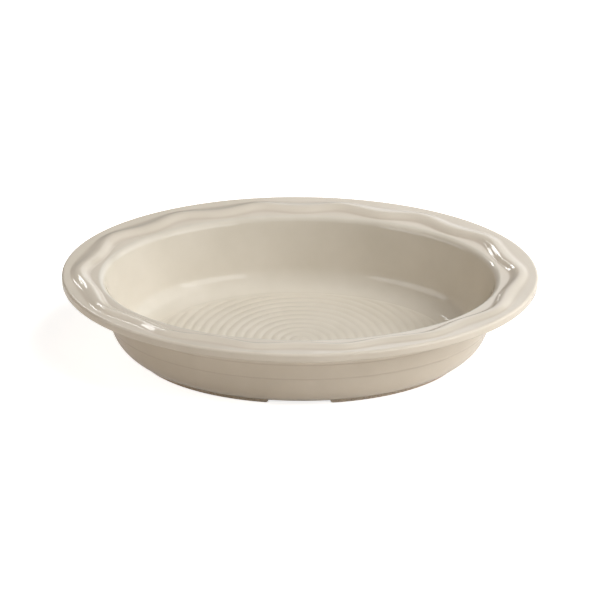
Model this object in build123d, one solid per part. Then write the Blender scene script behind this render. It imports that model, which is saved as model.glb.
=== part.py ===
from build123d import *
import math
import os

os.makedirs("parts", exist_ok=True)

# Oval baking dish of glazed stoneware. X runs along the dish, Y across it, Z up.
# The origin lies on the table under the middle of the dish. Sizes are millimetres.

# Overall size
length = 305.0
width = 225.0
rim_height = 53.5  # table to the middle of the rim's edge

# Flange
rim_thickness = 6.0
rim_radius = 1.5  # corners of the rim's edge
flange_width = 25.4  # rim to the line where the flange's oval becomes the well's oval
flange_climb = 3.2  # how far the flange rises from the lip to the rim
lip_radius = 5.0

# Waved ridge on the flange
wave_count = 14
crest_inset = 13.8  # rim to the middle of the wave
wave_swing = 2.3  # how far the wave reaches to each side of its middle
outer_swing = 1.6  # how far the ridge's outer foot follows the wave
wave_point_share = 0.05  # makes the outward peaks narrower than the inward ones
crest_height = 2.0
crest_width = 3.5
ridge_inner_width = 5.6  # crest to the line where the ridge runs out on its inner side
ridge_outer_width = 6.5  # the same on its outer side

# Well
floor_height = 6.7
wall_lean = 18.0  # degrees out from upright
wall_thickness = 6.5
cove_radius = 20.0
wall_fillet = 4.0  # under the flange

# Rings in the floor
ring_pitch = 6.0
ring_depth = 0.35
first_ring = 6.6  # radius of the smallest groove
ring_margin = 1.0  # plain floor between the rings and the cove

# Foot ring
foot_reach = 9.9  # from the middle of the cove's arc out to the ring
foot_ring_width = 8.0
foot_edge_radius = 0.7
foot_draft = 0.6
recess_height = 2.6

# Notches in the foot ring
notch_width = 38.7
notch_end_radius = 2.5

# Glaze
glaze_thickness = 0.45

# One overrun for every cut
overrun = 5.0

# How finely the wave and the arcs are laid out
points_per_wave = 8
spread_steps = 7200
cove_steps = 4
shoulder_steps = 3
lip_steps = 2
edge_steps = 2
fillet_steps = 1
wall_steps = 2
underside_steps = 1

# Values that several pieces share
half_length = length / 2
half_width = width / 2
lean = math.radians(wall_lean)
upright = math.pi / 2
outward = 0.0
inward = math.pi
well_aspect = (half_width - flange_width) / (half_length - flange_width)
flange_slope = math.atan2(flange_climb, flange_width - rim_radius)
rim_along = half_length - rim_radius
rim_top = rim_height + rim_thickness / 2
rim_bottom = rim_height - rim_thickness / 2


def across(along):
    """Half width of an oval from its half length: even all round on the flange, in scale in the well."""
    if along >= half_length - flange_width:
        return along - half_length + half_width
    return along * well_aspect


def flange_top(along):
    """Height of the plain flange above the table."""
    return rim_top - (rim_along - along) * math.tan(flange_slope)


def underside(along):
    """Height of the flange's underside above the table."""
    return flange_top(along) - rim_thickness / math.cos(flange_slope)


def arc(centre, radius, start, end, steps):
    """Points along an arc in the upright half plane. Angle 0 points outward and pi / 2 up."""
    angles = [start + (end - start) * i / steps for i in range(steps + 1)]
    return [(centre[0] + radius * math.cos(t), centre[1] + radius * math.sin(t)) for t in angles]


def between(first, last, steps):
    """Points spaced evenly along a straight stretch, without its ends."""
    shares = [i / steps for i in range(1, steps)]
    return [(first[0] + (last[0] - first[0]) * k, first[1] + (last[1] - first[1]) * k) for k in shares]


# Lip: an arc tangent to the flange and to the leaning wall
lip_along = half_length - flange_width + lip_radius / 2
lip_centre = (lip_along, flange_top(lip_along) - lip_radius / math.cos(flange_slope))
lip = arc(lip_centre, lip_radius, inward - lean, upright + flange_slope, lip_steps)

# Cove: an arc tangent to the floor and to the leaning wall
cove_turn = upright - lean
wall_base = lip[0][0] - (lip[0][1] - floor_height) * math.tan(lean)
cove_centre = (wall_base - cove_radius * math.tan(cove_turn / 2), floor_height + cove_radius)
cove = arc(cove_centre, cove_radius, -upright, -lean, cove_steps)

# Shoulder: the outer arc round the same centre, from the foot ring up to the wall
shoulder_radius = cove_radius + wall_thickness
foot_half = cove_centre[0] + foot_reach
shoulder_start = -math.acos((foot_reach + foot_draft) / shoulder_radius)
shoulder = arc(cove_centre, shoulder_radius, shoulder_start, -lean, shoulder_steps)

# Fillet between the outer wall and the flange's underside
wall_run = wall_thickness / math.cos(lean)
corner_rise = underside(lip[0][0] + wall_run) - lip[0][1]
corner_rise /= 1 - math.tan(lean) * math.tan(flange_slope)
corner = (lip[0][0] + wall_run + corner_rise * math.tan(lean), lip[0][1] + corner_rise)
fillet_reach = wall_fillet * math.tan((cove_turn - flange_slope) / 2)
fillet_centre = (
    corner[0] - fillet_reach * math.sin(lean) + wall_fillet * math.cos(lean),
    corner[1] - fillet_reach * math.cos(lean) - wall_fillet * math.sin(lean),
)
under_fillet = arc(fillet_centre, wall_fillet, inward - lean, upright + flange_slope, fillet_steps)

# Rounded corners above and below the rim's upright edge
edge_above = arc((rim_along, rim_top - rim_radius), rim_radius, upright, outward, edge_steps)
edge_below = arc((rim_along, rim_bottom + rim_radius), rim_radius, outward, -upright, edge_steps)

# Eccentric angles of the wave's points, spread evenly along the rim from its right-hand end
turns = [math.tau * i / spread_steps for i in range(spread_steps + 1)]
rim_points = [(half_length * math.cos(t), half_width * math.sin(t)) for t in turns]
reached = [0.0]
for before, after in zip(rim_points, rim_points[1:]):
    reached.append(reached[-1] + math.dist(before, after))
wave_points = wave_count * points_per_wave
spread = []
step = 0
for i in range(wave_points + 1):
    while step < spread_steps and reached[step] < reached[-1] * i / wave_points:
        step += 1
    spread.append(turns[step])


def wave(i):
    """The wave at point i along the rim: 1 at an outward peak, negative at an inward one."""
    turn = math.tau * i / points_per_wave
    return (math.cos(turn) + wave_point_share * math.cos(2 * turn)) / (1 + wave_point_share)


class Station:
    """One closed line round the glazed dish: a level oval, or a waved line if swing is set."""

    def __init__(self, along, up, swing=0.0):
        self.along = along
        self.up = up
        self.swing = swing
        self.normal = (0.0, 0.0)

    def wire(self, depth=0.0):
        """The line itself, or the line at this depth under the glaze's surface."""
        a = self.along - depth * self.normal[0]
        b = across(self.along) - depth * self.normal[0]
        up = self.up - depth * self.normal[1]
        if not self.swing:
            return Wire([Edge.make_ellipse(a, b, plane=Plane.XY.offset(up))])
        points = []
        for i, t in enumerate(spread[:-1]):
            shift = self.swing * wave(i)
            rise = shift * math.tan(flange_slope)
            points.append(((a + shift) * math.cos(t), (b + shift) * math.sin(t), up + rise))
        return Wire([Edge.make_spline(points, periodic=True, parameters=spread)])


# Lines of the flange, from the lip over the ridge to its outer foot
crest = half_length - crest_inset
inner_foot = crest - ridge_inner_width
outer_foot = crest + ridge_outer_width
run_out = (inner_foot + lip[-1][0]) / 2
crest_up = flange_top(crest) + crest_height
flange = [
    Station(run_out, flange_top(run_out), swing=wave_swing / 2),
    Station(inner_foot, flange_top(inner_foot), swing=wave_swing),
    Station(crest - crest_width / 2, crest_up, swing=wave_swing),
    Station(crest + crest_width / 2, crest_up, swing=wave_swing),
    Station(outer_foot, flange_top(outer_foot), swing=outer_swing),
]

# The whole glazed surface, from the floor over the rim down to the foot ring
inside = [Station(*p) for p in cove + between(cove[-1], lip[0], wall_steps) + lip]
inside += flange
inside += [Station(*p) for p in edge_above]
outside = [inside[-1]] + [Station(*p) for p in edge_below]
outside += [Station(*p) for p in between(edge_below[-1], under_fillet[-1], underside_steps)]
outside += [Station(*p) for p in reversed(under_fillet)]
outside += [Station(*p) for p in between(under_fillet[0], shoulder[-1], wall_steps)]
outside += [Station(*p) for p in reversed(shoulder)]
foot = [Station(foot_half, foot_edge_radius), Station(foot_half - foot_edge_radius, 0.0)]

# Each line's normal points out of the clay, square to the line through its neighbours
surface = inside + outside[1:]
for before, here, after in zip(surface, surface[1:], surface[2:]):
    run = after.along - before.along
    rise = after.up - before.up
    here.normal = (-rise / math.hypot(run, rise), run / math.hypot(run, rise))
inside[0].normal = (0.0, 1.0 + ring_depth / glaze_thickness)  # the glaze pools on the floor
for level_line in (inside[-1], outside[-1]):
    level_line.normal = (1.0, 0.0)


def oval(along, side, up):
    """A level oval line from its half length, half width and height."""
    return Wire([Edge.make_ellipse(along, side, plane=Plane.XY.offset(up))])


# Fired clay, hollowed under the floor so that it stands on a ring
clay_lines = [s.wire() for s in reversed(foot)]
clay_lines += [s.wire(glaze_thickness) for s in reversed(outside)]
clay_lines += [s.wire(glaze_thickness) for s in reversed(inside[:-1])]
clay = Solid.make_loft(clay_lines, ruled=True)
recess_along = foot_half - foot_ring_width
recess_side = across(foot_half) - foot_ring_width
recess_lines = [
    oval(recess_along + foot_draft, recess_side + foot_draft, -overrun),
    oval(recess_along + foot_draft, recess_side + foot_draft, 0.0),
    oval(recess_along, recess_side, recess_height),
]
clay -= Solid.make_loft(recess_lines, ruled=True)

# Notches at the front and back of the foot ring, as high as the recess, with rounded ring ends
notch_side = notch_width / 2
notch_right = [
    (notch_side, recess_height),
    (notch_side, notch_end_radius),
    (notch_side + notch_end_radius, 0.0),
    (notch_side + notch_end_radius, -overrun),
]
notch_left = [(-x, y) for x, y in notch_right]
notch_outline = [
    Line(notch_left[0], notch_right[0]),
    Line(notch_right[0], notch_right[1]),
    RadiusArc(notch_right[1], notch_right[2], -notch_end_radius),
    Line(notch_right[2], notch_right[3]),
    Line(notch_right[3], notch_left[3]),
    Line(notch_left[3], notch_left[2]),
    RadiusArc(notch_left[2], notch_left[1], -notch_end_radius),
    Line(notch_left[1], notch_left[0]),
]
notch_face = Plane.XZ * make_face(notch_outline)
notch = extrude(notch_face, amount=across(foot_half) + overrun, both=True)
clay -= notch
export_step(clay, "parts/stoneware_body.step")

# Glaze over the floor, the wall and the flange, round the rim's upper corner
inside_lines = [s.wire() for s in inside]
inside_lines += [s.wire(glaze_thickness) for s in reversed(inside)]
inside_glaze = Solid.make_loft(inside_lines, ruled=True)

# Rings in the floor: round grooves side by side, ending on an oval short of the cove
ringed_half = cove_centre[0] - ring_margin
ring_count = math.floor((ringed_half - first_ring) / ring_pitch) + 1
zigzag = [(first_ring - ring_pitch / 2, floor_height + overrun)]
for i in range(ring_count):
    groove = first_ring + i * ring_pitch
    zigzag += [(groove - ring_pitch / 2, floor_height), (groove, floor_height - ring_depth)]
last_land = first_ring + (ring_count - 1) * ring_pitch + ring_pitch / 2
zigzag += [(last_land, floor_height), (last_land, floor_height + overrun)]
grooves = revolve(Plane.XZ * make_face(Polyline(*zigzag, close=True)), axis=Axis.Z)
ringed_face = Face(oval(ringed_half, across(ringed_half), floor_height - overrun))
grooves &= Solid.extrude(ringed_face, Vector(0, 0, overrun + overrun + overrun))
inside_glaze -= grooves
export_step(inside_glaze, "parts/inside_glaze.step")

# Glaze from the rim's upright edge down to the foot ring
outside_glaze = Solid.make_loft([s.wire() for s in outside], ruled=True)
outside_glaze -= Solid.make_loft([s.wire(glaze_thickness) for s in outside], ruled=True)
outside_glaze -= notch
export_step(outside_glaze, "parts/outside_glaze.step")
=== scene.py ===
import bpy
import math
import numpy as np
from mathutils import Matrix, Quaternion, Vector


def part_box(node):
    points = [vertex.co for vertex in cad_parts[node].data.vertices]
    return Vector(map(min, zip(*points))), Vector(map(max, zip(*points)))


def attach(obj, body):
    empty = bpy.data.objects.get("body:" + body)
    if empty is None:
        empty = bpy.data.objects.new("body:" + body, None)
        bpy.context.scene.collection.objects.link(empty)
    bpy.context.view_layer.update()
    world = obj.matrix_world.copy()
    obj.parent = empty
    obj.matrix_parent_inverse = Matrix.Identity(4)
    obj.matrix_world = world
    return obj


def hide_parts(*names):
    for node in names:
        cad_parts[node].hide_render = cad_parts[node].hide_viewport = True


# An oval baking dish of cream-glazed stoneware on a plain white table. Metres, Z up, and the
# origin on the table under the middle of the dish.

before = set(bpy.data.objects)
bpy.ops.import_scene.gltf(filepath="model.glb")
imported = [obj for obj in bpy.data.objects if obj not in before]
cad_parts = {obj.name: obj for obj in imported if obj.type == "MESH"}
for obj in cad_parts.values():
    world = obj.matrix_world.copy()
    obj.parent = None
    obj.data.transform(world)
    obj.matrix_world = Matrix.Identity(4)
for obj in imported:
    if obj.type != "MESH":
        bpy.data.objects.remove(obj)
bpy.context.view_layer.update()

MM = 0.001
scene = bpy.context.scene

# Sizes that come from the frame
inside_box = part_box("inside_glaze")
outside_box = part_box("outside_glaze")
half_length = inside_box[1].x
half_width = inside_box[1].y
face_top = outside_box[1].z

# Flange
rim_thickness = 6.0 * MM
rim_radius = 1.5 * MM
flange_width = 25.4 * MM
flange_climb = 3.2 * MM
lip_radius = 5.0 * MM

# Waved ridge on the flange
wave_count = 14
wave_swing = 2.3 * MM
wave_point_share = 0.05  # how much more pointed the wave is outward than inward
inner_swing_share = 0.5  # halfway between the lip and the ridge
outer_swing_share = 0.7  # at the ridge's outer foot
crest_inset = 13.8 * MM
crest_height = 2.1 * MM
crest_width = 3.5 * MM
ridge_inner_width = 5.6 * MM
ridge_outer_width = 6.5 * MM
rim_blend = 2.7 * MM

# Well
floor_height = 6.7 * MM
wall_lean = math.radians(18.0)
wall_thickness = 6.5 * MM
cove_radius = 20.0 * MM
wall_fillet = 4.0 * MM

# Rings in the floor
ring_pitch = 6.0 * MM
ring_depth = 0.35 * MM
first_ring = 6.6 * MM
ring_margin = 1.0 * MM
ring_fade = 2.0 * MM
round_floor = 40.0 * MM  # out to here the floor's mesh runs in circles, along the rings

# Faint turned lines in the outer wall
wall_line_heights = (23.8 * MM, 35.2 * MM)
wall_line_depth = 0.12 * MM
wall_line_reach = 0.9 * MM

# Glaze, with painted shade in its creases and rings, and where it has lost its gloss
glaze_thickness = 0.45 * MM
crease_reach = 1.2 * MM
ring_painted_shade = 0.35
scuff_fade = 8.0 * MM

# Foot
foot_reach = 9.9 * MM
foot_draft = 0.6 * MM

# How finely the mesh is laid out
steps_for_each_wave = 40
steps_around = wave_count * steps_for_each_wave
spread_steps = 7200
floor_step = 0.6 * MM
flange_steps = 8  # for each control line
wall_step = 1.5 * MM
line_step = 0.25 * MM
arc_step = math.radians(6.0)

# Values that several parts of the profile share
upright = math.pi / 2
rim_along = half_length - rim_radius
rim_top = face_top + rim_radius
rim_bottom = rim_top - rim_thickness
well_aspect = (half_width - flange_width) / (half_length - flange_width)
flange_slope = math.atan2(flange_climb, flange_width - rim_radius)


def across(along):
    """Half width of the oval of this half length. The flange is even all round, the well in scale."""
    return np.where(
        along >= half_length - flange_width,
        along - half_length + half_width,
        along * well_aspect,
    )


def flange_top(along):
    """Height of the plain flange above the table."""
    return rim_top - (rim_along - along) * math.tan(flange_slope)


def arc(centre, radius, start, end):
    """Points along an arc in the upright half plane. Angle 0 points outward and pi / 2 up."""
    steps = max(2, math.ceil(abs(end - start) / arc_step))
    angles = np.linspace(start, end, steps + 1)
    return np.c_[centre[0] + radius * np.cos(angles), centre[1] + radius * np.sin(angles)]


def between(first, last, step):
    """Points along a straight stretch, without its ends."""
    steps = max(2, math.ceil(math.dist(first, last) / step))
    share = np.linspace(0, 1, steps + 1)[1:-1, None]
    return np.asarray(first) + (np.asarray(last) - np.asarray(first)) * share


def ease(x):
    """Smooth step from 0 to 1."""
    x = np.clip(x, 0, 1)
    return x * x * (3 - 2 * x)


def smooth(control, steps):
    """Rows along the quadratic curve that starts and ends at the first and last control row."""
    middles = (control[:-1] + control[1:]) / 2
    middles[0], middles[-1] = control[0], control[-1]
    share = np.linspace(0, 1, steps + 1)[1:, None]
    rows = [control[:1]]
    for before, bend, after in zip(middles, control[1:-1], middles[1:]):
        rows.append((1 - share) ** 2 * before + 2 * share * (1 - share) * bend + share ** 2 * after)
    return np.vstack(rows)


# Profile of the finished surface: the lip, the cove and the outer wall's shoulder
lip_along = half_length - flange_width + lip_radius / 2
lip_centre = (lip_along, flange_top(lip_along) - lip_radius / math.cos(flange_slope))
lip = arc(lip_centre, lip_radius, math.pi - wall_lean, upright + flange_slope)
cove_turn = upright - wall_lean
wall_base = lip[0, 0] - (lip[0, 1] - floor_height) * math.tan(wall_lean)
cove_centre = (wall_base - cove_radius * math.tan(cove_turn / 2), floor_height + cove_radius)
cove = arc(cove_centre, cove_radius, -upright, -wall_lean)
shoulder_radius = cove_radius + wall_thickness
shoulder_start = -math.acos((foot_reach + foot_draft) / shoulder_radius)
shoulder = arc(cove_centre, shoulder_radius, shoulder_start, -wall_lean)

# The fillet where the outer wall meets the flange's underside
under_slope = rim_thickness / math.cos(flange_slope)
wall_run = wall_thickness / math.cos(wall_lean)
corner_rise = flange_top(lip[0, 0] + wall_run) - under_slope - lip[0, 1]
corner_rise /= 1 - math.tan(wall_lean) * math.tan(flange_slope)
corner = (lip[0, 0] + wall_run + corner_rise * math.tan(wall_lean), lip[0, 1] + corner_rise)
fillet_reach = wall_fillet * math.tan((cove_turn - flange_slope) / 2)
fillet_centre = (
    corner[0] - fillet_reach * math.sin(wall_lean) + wall_fillet * math.cos(wall_lean),
    corner[1] - fillet_reach * math.cos(wall_lean) - wall_fillet * math.sin(wall_lean),
)
under_fillet = arc(fillet_centre, wall_fillet, math.pi - wall_lean, upright + flange_slope)

# The rim
edge_above = arc((rim_along, face_top), rim_radius, upright, 0)
edge_below = arc((rim_along, rim_bottom + rim_radius), rim_radius, 0, -upright)
rim_face = between(edge_above[-1], edge_below[0], wall_step)

# Control lines of the flange, from the lip to the rim: how far in from the rim's outer edge, how
# far above the plain flange, and the share of the wave's swing that they follow
lip_inset = half_length - lip[-1, 0]
inner_foot_inset = crest_inset + ridge_inner_width
outer_foot_inset = crest_inset - ridge_outer_width
flange_control = np.array([
    (lip_inset, 0, 0),
    ((inner_foot_inset + lip_inset) / 2, 0, inner_swing_share),
    (inner_foot_inset, 0, 1),
    (crest_inset + crest_width / 2, crest_height, 1),
    (crest_inset - crest_width / 2, crest_height, 1),
    (outer_foot_inset, 0, outer_swing_share),
    (rim_radius + rim_blend, 0, 0),
    (rim_radius, 0, 0),
])
flange_lines = smooth(flange_control, flange_steps)[1:-1]
flange_along = half_length - flange_lines[:, 0]
flange = np.c_[flange_along, flange_top(flange_along)]

# The straight stretches
floor_ovals = np.linspace(0, cove_centre[0], math.ceil(cove_centre[0] / floor_step) + 1)[1:-1]
floor_line = np.c_[floor_ovals, np.full(len(floor_ovals), floor_height)]
wall_inside = between(cove[-1], lip[0], wall_step)
wall_outside = between(under_fillet[0], shoulder[-1], line_step)
underside = between(edge_below[-1], under_fillet[-1], wall_step)

# The whole profile. Each line has its half length, its height, its relief above the plain
# flange and its share of the wave's swing
before_flange = np.vstack([floor_line, cove, wall_inside, lip])
after_flange = np.vstack([
    edge_above, rim_face, edge_below, underside, under_fillet[::-1], wall_outside, shoulder[::-1],
])
profile = np.vstack([
    np.pad(before_flange, ((0, 0), (0, 2))),
    np.c_[flange, flange_lines[:, 1:]],
    np.pad(after_flange, ((0, 0), (0, 2))),
])
line_number = np.arange(len(profile))
in_well = line_number < len(before_flange)
on_floor = in_well & (profile[:, 0] < cove_centre[0])
on_outside = line_number >= len(before_flange) + len(flange)

# Points round the dish, spread evenly along the rim, and the wave that passes through them
turns = np.linspace(0, math.tau, spread_steps + 1)
rim_points = np.c_[half_length * np.cos(turns), half_width * np.sin(turns)]
reached = np.r_[0, np.cumsum(np.linalg.norm(np.diff(rim_points, axis=0), axis=1))]
around = np.arange(steps_around) / steps_around
spread = np.interp(around * reached[-1], reached, turns)
wave_turn = math.tau * wave_count * around
wave = (np.cos(wave_turn) + wave_point_share * np.cos(2 * wave_turn)) / (1 + wave_point_share)


def half_widths(along):
    """Half widths of lines of these half lengths: circles in the middle of the floor, then ovals."""
    floor_end = cove_centre[0]
    share = (along - round_floor) / (floor_end - round_floor)
    widening = round_floor + (floor_end * well_aspect - round_floor) * share
    side = np.where(along < floor_end, widening, across(along))
    return np.where(along < round_floor, along, side)


def ring_groove(radius):
    """How deep the floor's rings are at a distance from the middle, from 0 to 1."""
    return ((1 + np.cos(math.tau * (radius - first_ring) / ring_pitch)) / 2) ** 2


def wall_line(up, height):
    """How deep a turned line at this height is, from 0 to 1."""
    near = np.clip((up - height) / wall_line_reach, -1, 1)
    return np.cos(upright * near) ** 2


def surface():
    """Points of the finished surface, one row for each line of the profile."""
    along, up, relief, swing = np.hsplit(profile, 4)
    shift = swing * wave_swing * wave
    rise = relief + shift * math.tan(flange_slope)
    x = (along + shift) * np.cos(spread)
    y = (half_widths(along) + shift) * np.sin(spread)
    z = up + rise
    # Rings in the floor, ending on an oval
    radius = np.hypot(x, y)
    ringed_half = cove_centre[0] - ring_margin
    oval_share = np.hypot(x / ringed_half, y / (ringed_half * well_aspect))
    ring_edge = ease((1 - oval_share) * ringed_half / ring_fade)
    groove = np.where(radius < first_ring - ring_pitch / 2, 0, ring_groove(radius))
    z = z - np.where(on_floor[:, None], ring_depth * ring_edge * groove, 0)
    # Faint turned lines in the outer wall
    for height in wall_line_heights:
        dent = np.where(on_outside[:, None], wall_line_depth * wall_line(up, height), 0)
        x = x - dent * np.cos(spread)
        y = y - dent * np.sin(spread)
    return np.stack([x, y, z], axis=-1)


def painted_shade():
    """Share of painted shade, from 0 to 1: a darker colour in the creases, the floor's rings and the
    turned lines.
    """
    along, up, _, swing = np.hsplit(profile, 4)
    shaded = np.zeros((len(profile), steps_around))
    for inset in (inner_foot_inset, outer_foot_inset):
        near = (along - half_length + inset) / crease_reach
        shaded = np.maximum(shaded, np.where(swing > 0, np.exp(-near ** 2), 0))
    radius = np.hypot(along * np.cos(spread), half_widths(along) * np.sin(spread))
    shaded = np.maximum(shaded, np.where(on_floor[:, None], ring_painted_shade * ring_groove(radius), 0))
    for height in wall_line_heights:
        shaded = np.maximum(shaded, np.where(on_outside[:, None], wall_line(up, height), 0))
    return shaded


def row_values(values):
    """One value for each line of the profile, repeated all round."""
    return np.repeat(values, steps_around)


def shell(name, top, bottom):
    """A closed mesh between two surfaces of equal rows, with a point in the middle of each."""
    rows, columns = top.shape[:2]
    points = np.vstack([top.reshape(-1, 3), bottom.reshape(-1, 3)])
    first_bottom = rows * columns
    column = np.arange(columns)
    after = (column + 1) % columns
    faces = []
    for row in range(rows - 1):
        a, b = row * columns, (row + 1) * columns
        faces += np.c_[a + column, b + column, b + after, a + after].tolist()
        a, b = a + first_bottom, b + first_bottom
        faces += np.c_[a + after, b + after, b + column, a + column].tolist()
    end = (rows - 1) * columns
    end_bottom = end + first_bottom
    faces += np.c_[end + column, end_bottom + column, end_bottom + after, end + after].tolist()
    middle = len(points)
    points = np.vstack([points, [[0, 0, top[0, :, 2].mean()], [0, 0, bottom[0, :, 2].mean()]]])
    faces += np.c_[np.full(columns, middle), column, after].tolist()
    faces += np.c_[np.full(columns, middle + 1), first_bottom + after, first_bottom + column].tolist()
    mesh = bpy.data.meshes.new(name)
    mesh.from_pydata(points.tolist(), [], faces)
    mesh.validate()
    mesh.shade_smooth()
    piece = bpy.data.objects.new(name, mesh)
    scene.collection.objects.link(piece)
    return piece


# Glaze, one unbroken skin from the middle of the floor over the rim and down to the foot ring.
# Its thickness is measured along the profile's normal, and straight down on the floor
glaze_top = surface()
run = np.gradient(glaze_top[:, 0, 0])
rise = np.gradient(glaze_top[:, 0, 2])
stretch = np.hypot(run, rise)
normal = np.c_[-rise / stretch, run / stretch]
normal[profile[:, 0] < cove_centre[0] - ring_pitch] = (0, 1)
glaze_bottom = glaze_top.copy()
glaze_bottom[:, :, 0] -= glaze_thickness * normal[:, :1] * np.cos(spread)
glaze_bottom[:, :, 1] -= glaze_thickness * normal[:, :1] * np.sin(spread)
glaze_bottom[:, :, 2] -= glaze_thickness * normal[:, 1:]
glaze = shell("glaze", glaze_top, glaze_bottom)
scuffed = np.where(in_well, ease((cove_centre[0] + scuff_fade - profile[:, 0]) / scuff_fade), 0)
# Point values: the share of painted shade in the creases, rings and turned lines, the duller floor,
# and the well
point_values = (
    ("painted_shade", painted_shade()),
    ("scuffed", row_values(scuffed)),
    ("well", row_values(in_well.astype(float))),
)
for attribute_name, values in point_values:
    attribute = glaze.data.attributes.new(attribute_name, "FLOAT", "POINT")
    on_points = np.zeros(len(glaze.data.vertices))
    on_points[:values.size] = values.ravel()
    attribute.data.foreach_set("value", on_points)
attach(glaze, "root")
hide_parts("inside_glaze", "outside_glaze")


def srgb(red, green, blue):
    """Linear colour, with alpha, of an 8-bit display colour."""
    def linear(value):
        share = value / 255
        return share / 12.92 if share <= 0.04045 else ((share + 0.055) / 1.055) ** 2.4
    return (linear(red), linear(green), linear(blue), 1.0)


# Look of the glaze. Noise scales are per metre
outside_mottle = ((0.3, srgb(213, 202, 184)), (0.7, srgb(221, 210, 193)))
# The well's tone is a little cooler and less yellow, painted to offset the warmer light bounced about
# inside the well
well_mottle = ((0.3, srgb(213, 204, 187)), (0.7, srgb(221, 212, 196)))
mottle_scale = 28.0
mottle_detail = 4.0
# Painted shade: a darker colour mixed in along the ridge's creases, the floor's rings and the wall's
# turned lines
painted_shade_colour = srgb(186, 170, 152)
painted_shade_strength = 0.35
least_roughness = 0.02
most_roughness = 0.04
scuffed_roughness = 0.3
sheen_scale = 90.0
sheen_detail = 3.0
ripple_scale = 160.0
ripple_detail = 2.0
ripple_strength = 0.15
glaze_ior = 1.5

# Look of the bare clay
clay_specks = ((0.3, srgb(188, 168, 146)), (0.5, srgb(214, 198, 178)), (0.75, srgb(224, 211, 193)))
speck_scale = 900.0
speck_detail = 2.0
speck_strength = 0.35
clay_roughness = 0.85

bump_height = 0.2 * MM

# Look of the table and of the background where it is seen
white = (1.0, 1.0, 1.0, 1.0)
table_colour = (0.84, 0.8, 0.75, 1.0)
table_lift = 0.8
world_light = 0.02
mirrored_share = 0.3  # how bright the background is where it is mirrored in the glaze

# Sockets of a Mix node that mixes colours
mix_first = 6
mix_second = 7
mix_result = 2


def material(name):
    """A new material, with its nodes, its links and its shader."""
    made = bpy.data.materials.new(name)
    made.use_nodes = True
    nodes = made.node_tree.nodes
    return made, nodes, made.node_tree.links, nodes["Principled BSDF"]


def noise(nodes, links, place, scale, detail):
    """A noise texture in the dish's own metres."""
    texture = nodes.new("ShaderNodeTexNoise")
    texture.inputs["Scale"].default_value = scale
    texture.inputs["Detail"].default_value = detail
    links.new(place, texture.inputs["Vector"])
    return texture.outputs["Fac"]


def attribute_value(nodes, name):
    """The value of a mesh attribute."""
    reader = nodes.new("ShaderNodeAttribute")
    reader.attribute_name = name
    return reader.outputs["Fac"]


def ramp(nodes, links, value, stops):
    """A colour ramp over a value, from (position, colour) stops."""
    made = nodes.new("ShaderNodeValToRGB")
    elements = made.color_ramp.elements
    while len(elements) < len(stops):
        elements.new(0.5)
    for element, (position, colour) in zip(elements, stops):
        element.position = position
        element.color = colour
    links.new(value, made.inputs["Fac"])
    return made.outputs["Color"]


def scaled(nodes, links, value, factor):
    """A value times a fixed factor."""
    product = nodes.new("ShaderNodeMath")
    product.operation = "MULTIPLY"
    product.inputs[1].default_value = factor
    links.new(value, product.inputs[0])
    return product.outputs["Value"]


def colour_mix(nodes, links, share, first):
    """A Mix node for colours, with its share and its first colour linked."""
    mix = nodes.new("ShaderNodeMix")
    mix.data_type = "RGBA"
    links.new(share, mix.inputs["Factor"])
    links.new(first, mix.inputs[mix_first])
    return mix


def add_bump(nodes, links, shader, height, strength):
    """Small relief in a shader's normal, from a value between 0 and 1."""
    bump = nodes.new("ShaderNodeBump")
    bump.inputs["Strength"].default_value = strength
    bump.inputs["Distance"].default_value = bump_height
    links.new(height, bump.inputs["Height"])
    links.new(bump.outputs["Normal"], shader.inputs["Normal"])


def glaze_material():
    """Cream glaze: glossy, a little mottled, with painted shade in creases, rings and turned lines,
    and duller on the floor.
    """
    made, nodes, links, shader = material("cream_glaze")
    place = nodes.new("ShaderNodeTexCoord").outputs["Object"]
    mottle = noise(nodes, links, place, mottle_scale, mottle_detail)
    outside_colour = ramp(nodes, links, mottle, outside_mottle)
    well_colour = ramp(nodes, links, mottle, well_mottle)
    # Painted cooler tone in the well, set against the warm light bounced inside it
    tone = colour_mix(nodes, links, attribute_value(nodes, "well"), outside_colour)
    links.new(well_colour, tone.inputs[mix_second])
    # Painted shade: the darker colour mixed in at the creases, rings and turned lines
    painted_shade_share = scaled(nodes, links, attribute_value(nodes, "painted_shade"), painted_shade_strength)
    shaded_tone = colour_mix(nodes, links, painted_shade_share, tone.outputs[mix_result])
    shaded_tone.inputs[mix_second].default_value = painted_shade_colour
    links.new(shaded_tone.outputs[mix_result], shader.inputs["Base Color"])
    sheen = nodes.new("ShaderNodeMapRange")
    sheen.inputs["To Min"].default_value = least_roughness
    sheen.inputs["To Max"].default_value = most_roughness
    links.new(noise(nodes, links, place, sheen_scale, sheen_detail), sheen.inputs["Value"])
    gloss = nodes.new("ShaderNodeMix")
    links.new(attribute_value(nodes, "scuffed"), gloss.inputs["Factor"])
    links.new(sheen.outputs["Result"], gloss.inputs["A"])
    gloss.inputs["B"].default_value = scuffed_roughness
    links.new(gloss.outputs["Result"], shader.inputs["Roughness"])
    ripple = noise(nodes, links, place, ripple_scale, ripple_detail)
    add_bump(nodes, links, shader, ripple, ripple_strength)
    shader.inputs["IOR"].default_value = glaze_ior
    return made


def clay_material():
    """Bare fired clay: matt, speckled and a little rough."""
    made, nodes, links, shader = material("fired_clay")
    place = nodes.new("ShaderNodeTexCoord").outputs["Object"]
    speck = noise(nodes, links, place, speck_scale, speck_detail)
    links.new(ramp(nodes, links, speck, clay_specks), shader.inputs["Base Color"])
    shader.inputs["Roughness"].default_value = clay_roughness
    add_bump(nodes, links, shader, speck, speck_strength)
    return made


glaze.data.materials.append(glaze_material())
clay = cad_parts["stoneware_body"]
clay_finish = clay_material()
for slot in clay.material_slots:
    slot.material = clay_finish

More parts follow.
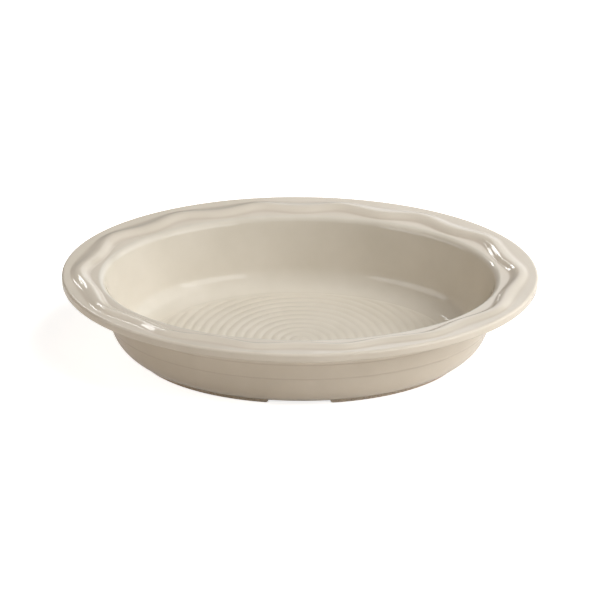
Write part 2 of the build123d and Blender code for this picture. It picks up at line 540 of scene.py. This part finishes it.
# Table: a wide white sheet that keeps the dish's shadow
table_size = 30.0
edge = table_size / 2
table_corners = [(-edge, -edge, 0), (edge, -edge, 0), (edge, edge, 0), (-edge, edge, 0)]
table_mesh = bpy.data.meshes.new("table")
table_mesh.from_pydata(table_corners, [], [(0, 1, 2, 3)])
table = bpy.data.objects.new("table", table_mesh)
scene.collection.objects.link(table)


def seen_ray(nodes, links):
    """1 for rays that show the background, straight or through glass, and less for mirrored ones."""
    path = nodes.new("ShaderNodeLightPath")
    most = scaled(nodes, links, path.outputs["Is Glossy Ray"], mirrored_share)
    for name in ("Is Camera Ray", "Is Transmission Ray"):
        larger = nodes.new("ShaderNodeMath")
        larger.operation = "MAXIMUM"
        links.new(most, larger.inputs[0])
        links.new(path.outputs[name], larger.inputs[1])
        most = larger.outputs["Value"]
    return most


def table_material():
    """White sheet, lifted towards white for the rays that show the background."""
    made, nodes, links, shader = material("white_table")
    shader.inputs["Base Color"].default_value = table_colour
    shader.inputs["Roughness"].default_value = 1.0
    shader.inputs["Specular IOR Level"].default_value = 0.0
    shader.inputs["Emission Color"].default_value = white
    lift = scaled(nodes, links, seen_ray(nodes, links), table_lift)
    links.new(lift, shader.inputs["Emission Strength"])
    return made


table_mesh.materials.append(table_material())

# World: soft white light, and plain white where it is seen
world = bpy.data.worlds.new("studio")
scene.world = world
world.use_nodes = True
world_nodes = world.node_tree.nodes
world_links = world.node_tree.links
backdrop = world_nodes["Background"]
backdrop.inputs["Color"].default_value = white
brightness = world_nodes.new("ShaderNodeMapRange")
brightness.inputs["To Min"].default_value = world_light
brightness.inputs["To Max"].default_value = 1.0
world_links.new(seen_ray(world_nodes, world_links), brightness.inputs["Value"])
world_links.new(brightness.outputs["Result"], backdrop.inputs["Strength"])


def lamp(name, place, aim, size, power, mirrored=False, tilt=0.0, tint=(1.0, 1.0, 1.0)):
    """A rectangular soft box turned towards a point, tilted in degrees, and mirrored or not."""
    data = bpy.data.lights.new(name, "AREA")
    data.shape = "RECTANGLE"
    data.size, data.size_y = size
    data.energy = power
    data.color = tint
    made = bpy.data.objects.new(name, data)
    made.location = place
    facing = (Vector(aim) - Vector(place)).to_track_quat("-Z", "Y")
    made.rotation_euler = (facing @ Quaternion((0, 0, 1), math.radians(tilt))).to_euler()
    made.visible_camera = False
    made.visible_glossy = mirrored
    scene.collection.objects.link(made)
    return made


def panel(name, place, aim, size, power, tilt=0.0):
    """A soft box that only shows as a reflection in the glaze."""
    made = lamp(name, place, aim, size, power, mirrored=True, tilt=tilt)
    made.visible_diffuse = False


def seen_at(turn, climb, distance):
    """A place seen from the dish at a turn from the X axis and a climb from level, both in degrees."""
    turn, climb = math.radians(turn), math.radians(climb)
    level = distance * math.cos(climb)
    return (level * math.cos(turn), level * math.sin(turn), face_top + distance * math.sin(climb))


# Lamps that light the dish
middle = (0.0, 0.0, face_top / 2)
cool = (0.98, 1.0, 1.03)
warm = (1.0, 0.92, 0.85)
lamp("key", (1.5, -0.6, 2.0), middle, size=(2.0, 2.0), power=66.0, tint=cool)
lamp("side", (2.2, 0.0, 1.0), middle, size=(3.0, 2.2), power=22.5, mirrored=True, tint=cool)
lamp("front", (1.5, -1.6, 1.0), middle, size=(2.4, 2.2), power=5.0)
lamp("fill", (-2.2, -0.2, 0.9), middle, size=(3.0, 1.8), power=21.5, tint=warm)

# Upright panels in front of the dish, to its right and its left
right_level = 0.65
left_level = 0.52
panel("panel_right", (1.5, -1.6, right_level), (0.0, 0.0, right_level), size=(1.5, 1.25), power=13.0)
panel("panel_left", (-1.75, -0.97, left_level), (0.0, 0.0, left_level), size=(2.2, 1.0), power=13.0)

# Narrow windows behind the dish, for the bright streaks along the ridge
window_width = 0.045
high_place = seen_at(turn=116.0, climb=40.0, distance=1.17)
near_place = seen_at(turn=109.2, climb=32.8, distance=0.88)
far_place = seen_at(turn=111.7, climb=35.1, distance=1.775)
panel("high_window", high_place, middle, size=(0.36, window_width), power=0.36, tilt=50.6)
panel("near_window", near_place, middle, size=(0.19, window_width), power=0.24, tilt=-10.0)
panel("far_window", far_place, middle, size=(0.3, window_width), power=0.4)

# The back panel, in four layers that start one after another, so that its left edge is soft. The
# layers stand a little apart, because of lamps in one plane only one shows
back_size = (1.24, 0.84)
back_left_edges = (-0.05, -0.02, 0.01, 0.04)
back_away = 1.0
back_level = 0.48
back_layer_gap = 0.01
back_layer_power = 0.87
for layer, left_edge in enumerate(back_left_edges):
    back_middle = left_edge + back_size[0] / 2
    back_place = (back_middle, back_away + back_layer_gap * layer, back_level)
    back_aim = (back_middle, 0.0, back_level)
    panel(f"panel_back_{layer}", back_place, back_aim, size=back_size, power=back_layer_power)

# Camera, at the viewing angle of a table-top product photograph
look_at = Vector((0.0001, 0.0, 0.0359))
elevation = math.radians(27.35)
distance = 1.932
roll = 0.005  # in radians
back = Vector((0, -math.cos(elevation), math.sin(elevation)))
camera_data = bpy.data.cameras.new("camera")
camera_data.lens = 180.0
camera_data.sensor_width = 36.0
camera_data.clip_start = 0.01
camera_data.clip_end = 100.0
camera = bpy.data.objects.new("camera", camera_data)
camera.location = look_at + back * distance
turn = (-back).to_track_quat("-Z", "Y") @ Quaternion((0, 0, 1), roll)
camera.rotation_euler = turn.to_euler()
scene.collection.objects.link(camera)
scene.camera = camera

scene.view_settings.view_transform = "Standard"
